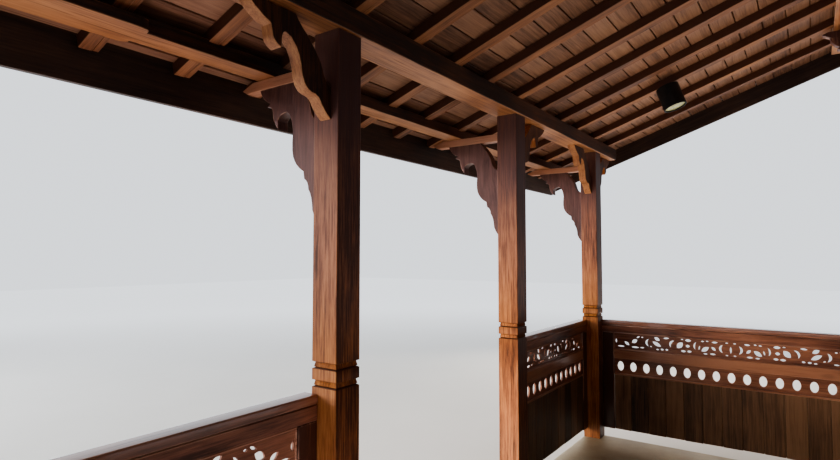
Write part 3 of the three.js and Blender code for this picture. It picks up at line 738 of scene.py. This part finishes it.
vine = {  # millimetres along from the corner or the turn's start, and up or down from the strip's middle
    "corner": 245, "pitch": 173, "middleBar": (26, 0.23),
    # moons: middle, height, radius, first and last angle, thickness
    # leaves: start, height, end, height, width over length
    "cornerLeaves": [
        (17, 18, 17, -18, 0.33), (27, -41, 83, -41, 0.23), (82, -2, 120, -28, 0.48),
        (140, -6, 182, 20, 0.6), (176, 34, 202, 48, 0.34), (212, 42, 228, 42, 0.56),
        (135, -41, 195, -41, 0.23), (203, -40, 236, -39, 0.3),
    ],
    "turns": [
        ([(28, 4, 29, 100, 262, 15)], [
            (33, -21, 47, -27, 0.6), (66, 50, 106, 27, 0.56), (52, 16, 115, -19, 0.39),
            (78, -43, 100, -43, 0.5), (110, -40, 135, -40, 0.56), (145, -40, 168, -38, 0.56),
            (132, 48, 175, 51, 0.28)]),
        ([(32, 6, 30, 78, 232, 14)], [
            (57, -18, 98, 27, 0.62), (84, 51, 104, 51, 0.4), (114, 46, 158, 46, 0.44), (118, 2, 148, 4, 0.7),
            (84, -38, 120, -38, 0.46), (128, -37, 160, -37, 0.5)]),
        ([(34, 8, 34, 118, 232, 11)], [
            (44, 14, 36, -18, 0.3), (54, -27, 104, 8, 0.49), (52, 47, 74, 49, 0.45),
            (84, 51, 104, 51, 0.45), (66, -43, 96, -43, 0.36), (110, -41, 150, -41, 0.33),
            (124, 46, 164, 48, 0.32), (122, 12, 150, -14, 0.5)]),
        ([(28, 4, 29, 100, 262, 15)], [(40, -41, 60, -41, 0.45), (40, 49, 60, 49, 0.45)]),
    ],
}


def vineLines(length):  # one half of the strip, and the same turned round for the other half
    inner = (length - 2 * rail["stile"]) * 1000
    turns = math.ceil((inner / 2 - vine["corner"]) / vine["pitch"] - 0.05)
    lines = [leafLine(*leaf) for leaf in vine["cornerLeaves"]]
    for turn in range(turns):
        moons, leaves = vine["turns"][turn]
        across = vine["corner"] + turn * vine["pitch"]
        lines += [[(u + across, z) for u, z in moonLine(*moon)] for moon in moons]
        lines += [[(u + across, z) for u, z in leafLine(*leaf)] for leaf in leaves]
    lines += [[(inner - u, z) for u, z in line] for line in lines]
    reach, width = vine["middleBar"]
    lines.append(leafLine(inner / 2, reach, inner / 2, -reach, width))
    middle = (rail["fretBottom"] + rail["fretTop"]) / 2
    return [[(rail["stile"] + u / 1000, middle + z / 1000) for u, z in line] for line in lines]


def piercedBoard(low, high, thickness, holes):  # low and high are (u, z) corners
    outline = [(low[0], low[1]), (high[0], low[1]), (high[0], high[1]), (low[0], high[1])]
    curve = bpy.data.curves.new("pierced", "CURVE")
    curve.dimensions, curve.fill_mode = "2D", "BOTH"
    for points in [outline] + holes:
        spline = curve.splines.new("POLY")
        spline.points.add(len(points) - 1)
        for point, (u, z) in zip(spline.points, points):
            point.co = (u, z, 0, 1)
        spline.use_cyclic_u = True
    edge = rail["pierceEdge"]
    curve.extrude = thickness / 2 - edge
    curve.bevel_depth = edge
    curve.bevel_resolution = 1
    curve.offset = -edge
    piece = bpy.data.objects.new("pierced", curve)
    bpy.context.scene.collection.objects.link(piece)
    pick(piece)
    bpy.ops.object.convert(target="MESH")
    piece = bpy.context.object
    piece.data.transform(Matrix.Rotation(math.pi / 2, 4, "X"))
    editAll(piece, lambda: bpy.ops.mesh.remove_doubles(threshold=0.00001),
            lambda: bpy.ops.mesh.normals_make_consistent(inside=False))
    markWear(piece, edge * 0.8)
    return smoothEdges(piece, 22)


def makeRunPieces(length, plankTone):
    half, stile, seam, mould = rail["thickness"] / 2, rail["stile"], rail["seam"], rail["mouldWidth"]
    far = length - stile
    inner = length - 2 * stile

    def board(u0, u1, z0, z1, depth, kind):
        piece = sawnBoard((u0, -depth, z0), (u1, depth, z1), min(rail["boardEdge"], (z1 - z0) / 3))
        return setTone(markWear(piece, rail["wearWidth"]), railTones[kind])

    fretZ0, fretZ1 = rail["fretBottom"] - rail["fretRoom"], rail["fretTop"] + rail["fretRoom"]
    headTop = rail["top"] - rail["shadowGap"]
    frameBoards = [
        board(0, length, fretZ1 + seam, headTop, half, "head"),
        # a painted shadow: a dark strip set back in the gap under the cap
        board(0, length, headTop - rail["shadowLap"], rail["top"], half - rail["shadowDepth"], "shadow"),
        board(stile, far, rail["ovalTop"], fretZ0, half, "middle"),
        board(stile, far, rail["plankTop"], rail["ovalBottom"], half, "low"),
    ]
    # stiles toned dark, painted shade beside the posts
    stiles = [board(u + seam, u + stile - seam, rail["bottom"], fretZ1, half, "stile") for u in (0, far)]
    for z0 in (fretZ0, fretZ1 - mould):
        frameBoards.append(board(stile, far, z0, z0 + mould, rail["mouldHalf"], "mould"))
    for u in (stile, far - mould):
        frameBoards.append(board(u, u + mould, fretZ0 + mould, fretZ1 - mould, rail["mouldHalf"], "mould"))
    fret = piercedBoard((stile, fretZ0), (far, fretZ1), rail["fretBoard"], vineLines(length))
    ovals = round(inner / rail["ovalPitch"])
    holes = [ovalLine(stile + (i + 0.5) * inner / ovals, rail["ovalCentre"]) for i in range(ovals)]
    ovalBand = piercedBoard((stile, rail["ovalBottom"]), (far, rail["ovalTop"]), rail["ovalBoard"], holes)
    planks = []
    plankCount = round(inner / rail["plankWidth"])
    width = inner / plankCount
    plankHalf, tongueReach, tongueHalf = rail["plankHalf"], rail["tongueReach"], rail["tongueHalf"]
    for i in range(plankCount):
        u = stile + i * width
        bottom = rail["bottom"] + random.uniform(0, rail["plankDrop"])
        high = (u + width - seam, plankHalf, rail["plankTop"])
        plank = sawnBoard((u + seam, -plankHalf, bottom), high, rail["plankEdge"])
        tone = plankTone + random.uniform(-railTones["plank"], railTones["plank"])
        planks.append(setTone(markWear(plank, rail["wearWidth"]), tone))
        if i > 0:  # the tongue in each joint
            low = (u - tongueReach, -tongueHalf, rail["bottom"] + rail["tongueLift"])
            high = (u + tongueReach, tongueHalf, rail["plankTop"] - rail["tongueDrop"])
            planks.append(setTone(sawnBoard(low, high, rail["tongueEdge"], 1), railTones["tongue"]))
    return {
        "frame": smoothEdges(joinPieces("frame", frameBoards)),
        "stiles": smoothEdges(joinPieces("stiles", stiles)),
        "vine": fret,
        "ovals": ovalBand,
        "planks": smoothEdges(joinPieces("planks", planks)),
    }


def makeBalustrades():
    for kind, wood in (("front", frontRailWood), ("end", endRailWood)):
        runs = (kind + "_left", kind + "_right")
        low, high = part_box("balustrade_" + runs[0])
        axis = 1 if kind == "front" else 0
        # the end runs' planks are painted lighter than the front runs', for the light they catch
        made = makeRunPieces(high[axis] - low[axis], railTones[kind + "Planks"])
        woods = {"frame": wood, "stiles": stileWood, "vine": wood, "ovals": wood, "planks": plankWood}
        for run in runs:
            low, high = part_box("balustrade_" + run)
            if kind == "front":
                put = Matrix.Translation(((low.x + high.x) / 2, low.y, rail["floor"]))
                put = put @ Matrix.Rotation(math.pi / 2, 4, "Z")
            else:
                put = Matrix.Translation((low.x, (low.y + high.y) / 2, rail["floor"]))
            for part, piece in made.items():
                settle(copyOf(piece, f"{run}_{part}", put), woods[part], "rail_wood", "balustrade_" + run)
        for piece in made.values():
            bpy.data.objects.remove(piece)


makeBalustrades()
print("balustrades built")


# Lamp

for name, finish, slot in (("spot_lamp", lampBlack, "lamp_black"), ("lamp_lens", lensGlass, "lamp_lens")):
    settle(easedCurved(name, sawn["lampEdge"]), finish, slot, name)
print("lamp dressed")


# Studio: floor, light and camera

studio = {
    "floorSize": 60.0, "floorPale": [(0.3, (0.60, 0.59, 0.56)), (0.7, (0.64, 0.63, 0.60))],
    "glowFrom": 2.0, "glowTo": 16.0, "nearGlow": (0.05, 0.05, 0.05),
    "flagLow": (3.0, -5.5, 0.0), "flagHigh": (3.02, 5.5, 5.0), "flagColour": (0.02, 0.02, 0.02, 1),
    "sky": (0.86, 0.90, 0.95), "skySeen": 1.25, "skyMirrored": 1.1, "skyLight": 0.10,
    "houseFrom": -0.1, "houseTo": 0.5, "houseShade": 0.08,
    "camera": (0.668, -2.336, 1.592), "lookUp": 2.783, "turnLeft": 35.442, "lens": 23.657,
}
lights = {  # place, aim, size, watts, colour, spread in degrees
    "eave_side_softbox": ((-7.0, -5.5, 2.3), (0, 0, 1.3), (9, 2.8), 620, (0.94, 0.96, 1.0), 155),
    "far_ground_bounce": ((-1.6, 8.0, 1.3), (-0.3, -0.5, 2.9), (5, 1.2), 300, (1.0, 0.88, 0.74), 105),
    "eave_low_softbox": ((-4.99, -0.08, 2.38), (-1.39, 0.12, 4.73), (2.2, 3.9), 138, (1.0, 0.86, 0.78), 180),
    "inside_bounce": ((0.45, 1.2, 0.16), (0.45, 1.2, 2.6), (1.2, 1.8), 8, (1.0, 0.86, 0.70), 95),
    "near_end_bounce": ((-0.45, -2.12, 0.45), (-0.80, -0.8, 0.7), (0.5, 0.5), 2.8, (0.90, 0.90, 1.0), 90),
    "bay_ground_bounce": ((-1.5, -0.5, 0.25), (-0.83, 0.75, 0.7), (0.8, 0.4), 6, (1.0, 0.73, 0.50), 75),
    "paving_bounce": ((-1.4, -1.4, 0.1), (-1.25, -1.4, 2.4), (0.4, 3.0), 3.5, (1.0, 0.74, 0.72), 50),
    "slab_glow": ((-0.1, -0.95, 0.14), (-0.78, -0.77, 0.6), (0.5, 0.5), 2.2, (1.0, 0.84, 0.90), 100),
    "overhead_softbox": ((-4.0, 1.0, 9.0), (0, 0, 1.0), (8, 8), 700, (0.97, 0.98, 1.0), 180),
    "house_side_fill": ((8.0, 3.0, 4.5), (0, 0, 1.4), (9, 5), 80, (1.0, 0.97, 0.95), 180),
}


def makeStage():
    clearSelection()
    bpy.ops.mesh.primitive_plane_add(size=studio["floorSize"], location=(0, 0, -0.001))
    ground = bpy.context.object
    ground.name = "studio_floor"
    pale = Finish("studio_floor")
    place = pale.place()
    pale.set(BaseColor=pale.ramp(pale.noise(place, 0.8, 3.0), studio["floorPale"]))
    away = pale.node("ShaderNodeVectorMath", {"operation": "LENGTH"}, {0: place}, "Value")
    horizon = tuple(part * studio["skySeen"] for part in studio["sky"])
    glow = pale.step(away, studio["glowFrom"], studio["glowTo"])
    pale.set(EmissionColor=pale.mixed(glow, studio["nearGlow"], horizon))
    pale.shader.inputs["Emission Strength"].default_value = 1.0
    pale.shader.inputs["Roughness"].default_value = 0.9
    ground.data.materials.append(pale.material)
    flag = sawnBoard(studio["flagLow"], studio["flagHigh"])  # dims the house side as a wall would
    flag.name = "studio_flag"
    black = Finish("studio_flag")
    black.set(BaseColor=studio["flagColour"])
    flag.data.materials.append(black.material)
    flag.visible_camera = flag.visible_shadow = flag.visible_glossy = False


def areaLight(name, place, aim, size, power, colour, spread):
    data = bpy.data.lights.new(name, "AREA")
    data.shape = "RECTANGLE"
    data.size, data.size_y = size
    data.energy = power
    data.color = colour
    data.spread = math.radians(spread)
    lamp = bpy.data.objects.new(name, data)
    bpy.context.scene.collection.objects.link(lamp)
    lamp.location = place
    lamp.rotation_euler = (Vector(aim) - Vector(place)).to_track_quat("-Z", "Y").to_euler()
    lamp.visible_camera = False
    lamp.visible_glossy = False


class Sky(Finish):
    def __init__(self, name):
        self.world = bpy.data.worlds.new(name)
        self.world.use_nodes = True
        self.tree = self.world.node_tree
        self.shader = self.tree.nodes["Background"]


def makeSky():  # a pale sky that lights little, mirrors more, and is dimmer where the house would stand
    sky = Sky("studio")
    bpy.context.scene.world = sky.world
    toward = sky.node("ShaderNodeTexCoord", {}, {}, "Generated")
    side = sky.node("ShaderNodeSeparateXYZ", {}, {0: toward}, "X")
    mirrored = sky.node("ShaderNodeLightPath", {}, {}, "Is Glossy Ray")
    seen = sky.node("ShaderNodeLightPath", {}, {}, "Is Camera Ray")
    strength = sky.step(mirrored, 0.0, 1.0, studio["skyLight"], studio["skyMirrored"], "LINEAR")
    dimming = sky.step(side, studio["houseFrom"], studio["houseTo"], 1.0, studio["houseShade"], "LINEAR")
    strength = sky.step(seen, 0.0, 1.0, strength * dimming, studio["skySeen"], "LINEAR")
    sky.set(Color=(*studio["sky"], 1), Strength=strength)


def makeCamera():
    data = bpy.data.cameras.new("view")
    data.lens = studio["lens"]
    data.sensor_width = 36.0
    data.sensor_fit = "HORIZONTAL"
    data.clip_start = 0.02
    data.clip_end = 200
    camera = bpy.data.objects.new("view", data)
    bpy.context.scene.collection.objects.link(camera)
    camera.location = studio["camera"]
    camera.rotation_euler = (math.radians(90 + studio["lookUp"]), 0, math.radians(studio["turnLeft"]))
    bpy.context.scene.camera = camera


makeStage()
makeSky()
for name, settings in lights.items():
    areaLight(name, *settings)
makeCamera()
bpy.context.scene.view_settings.look = "AgX - Medium High Contrast"
bpy.context.view_layer.update()
print("studio ready")
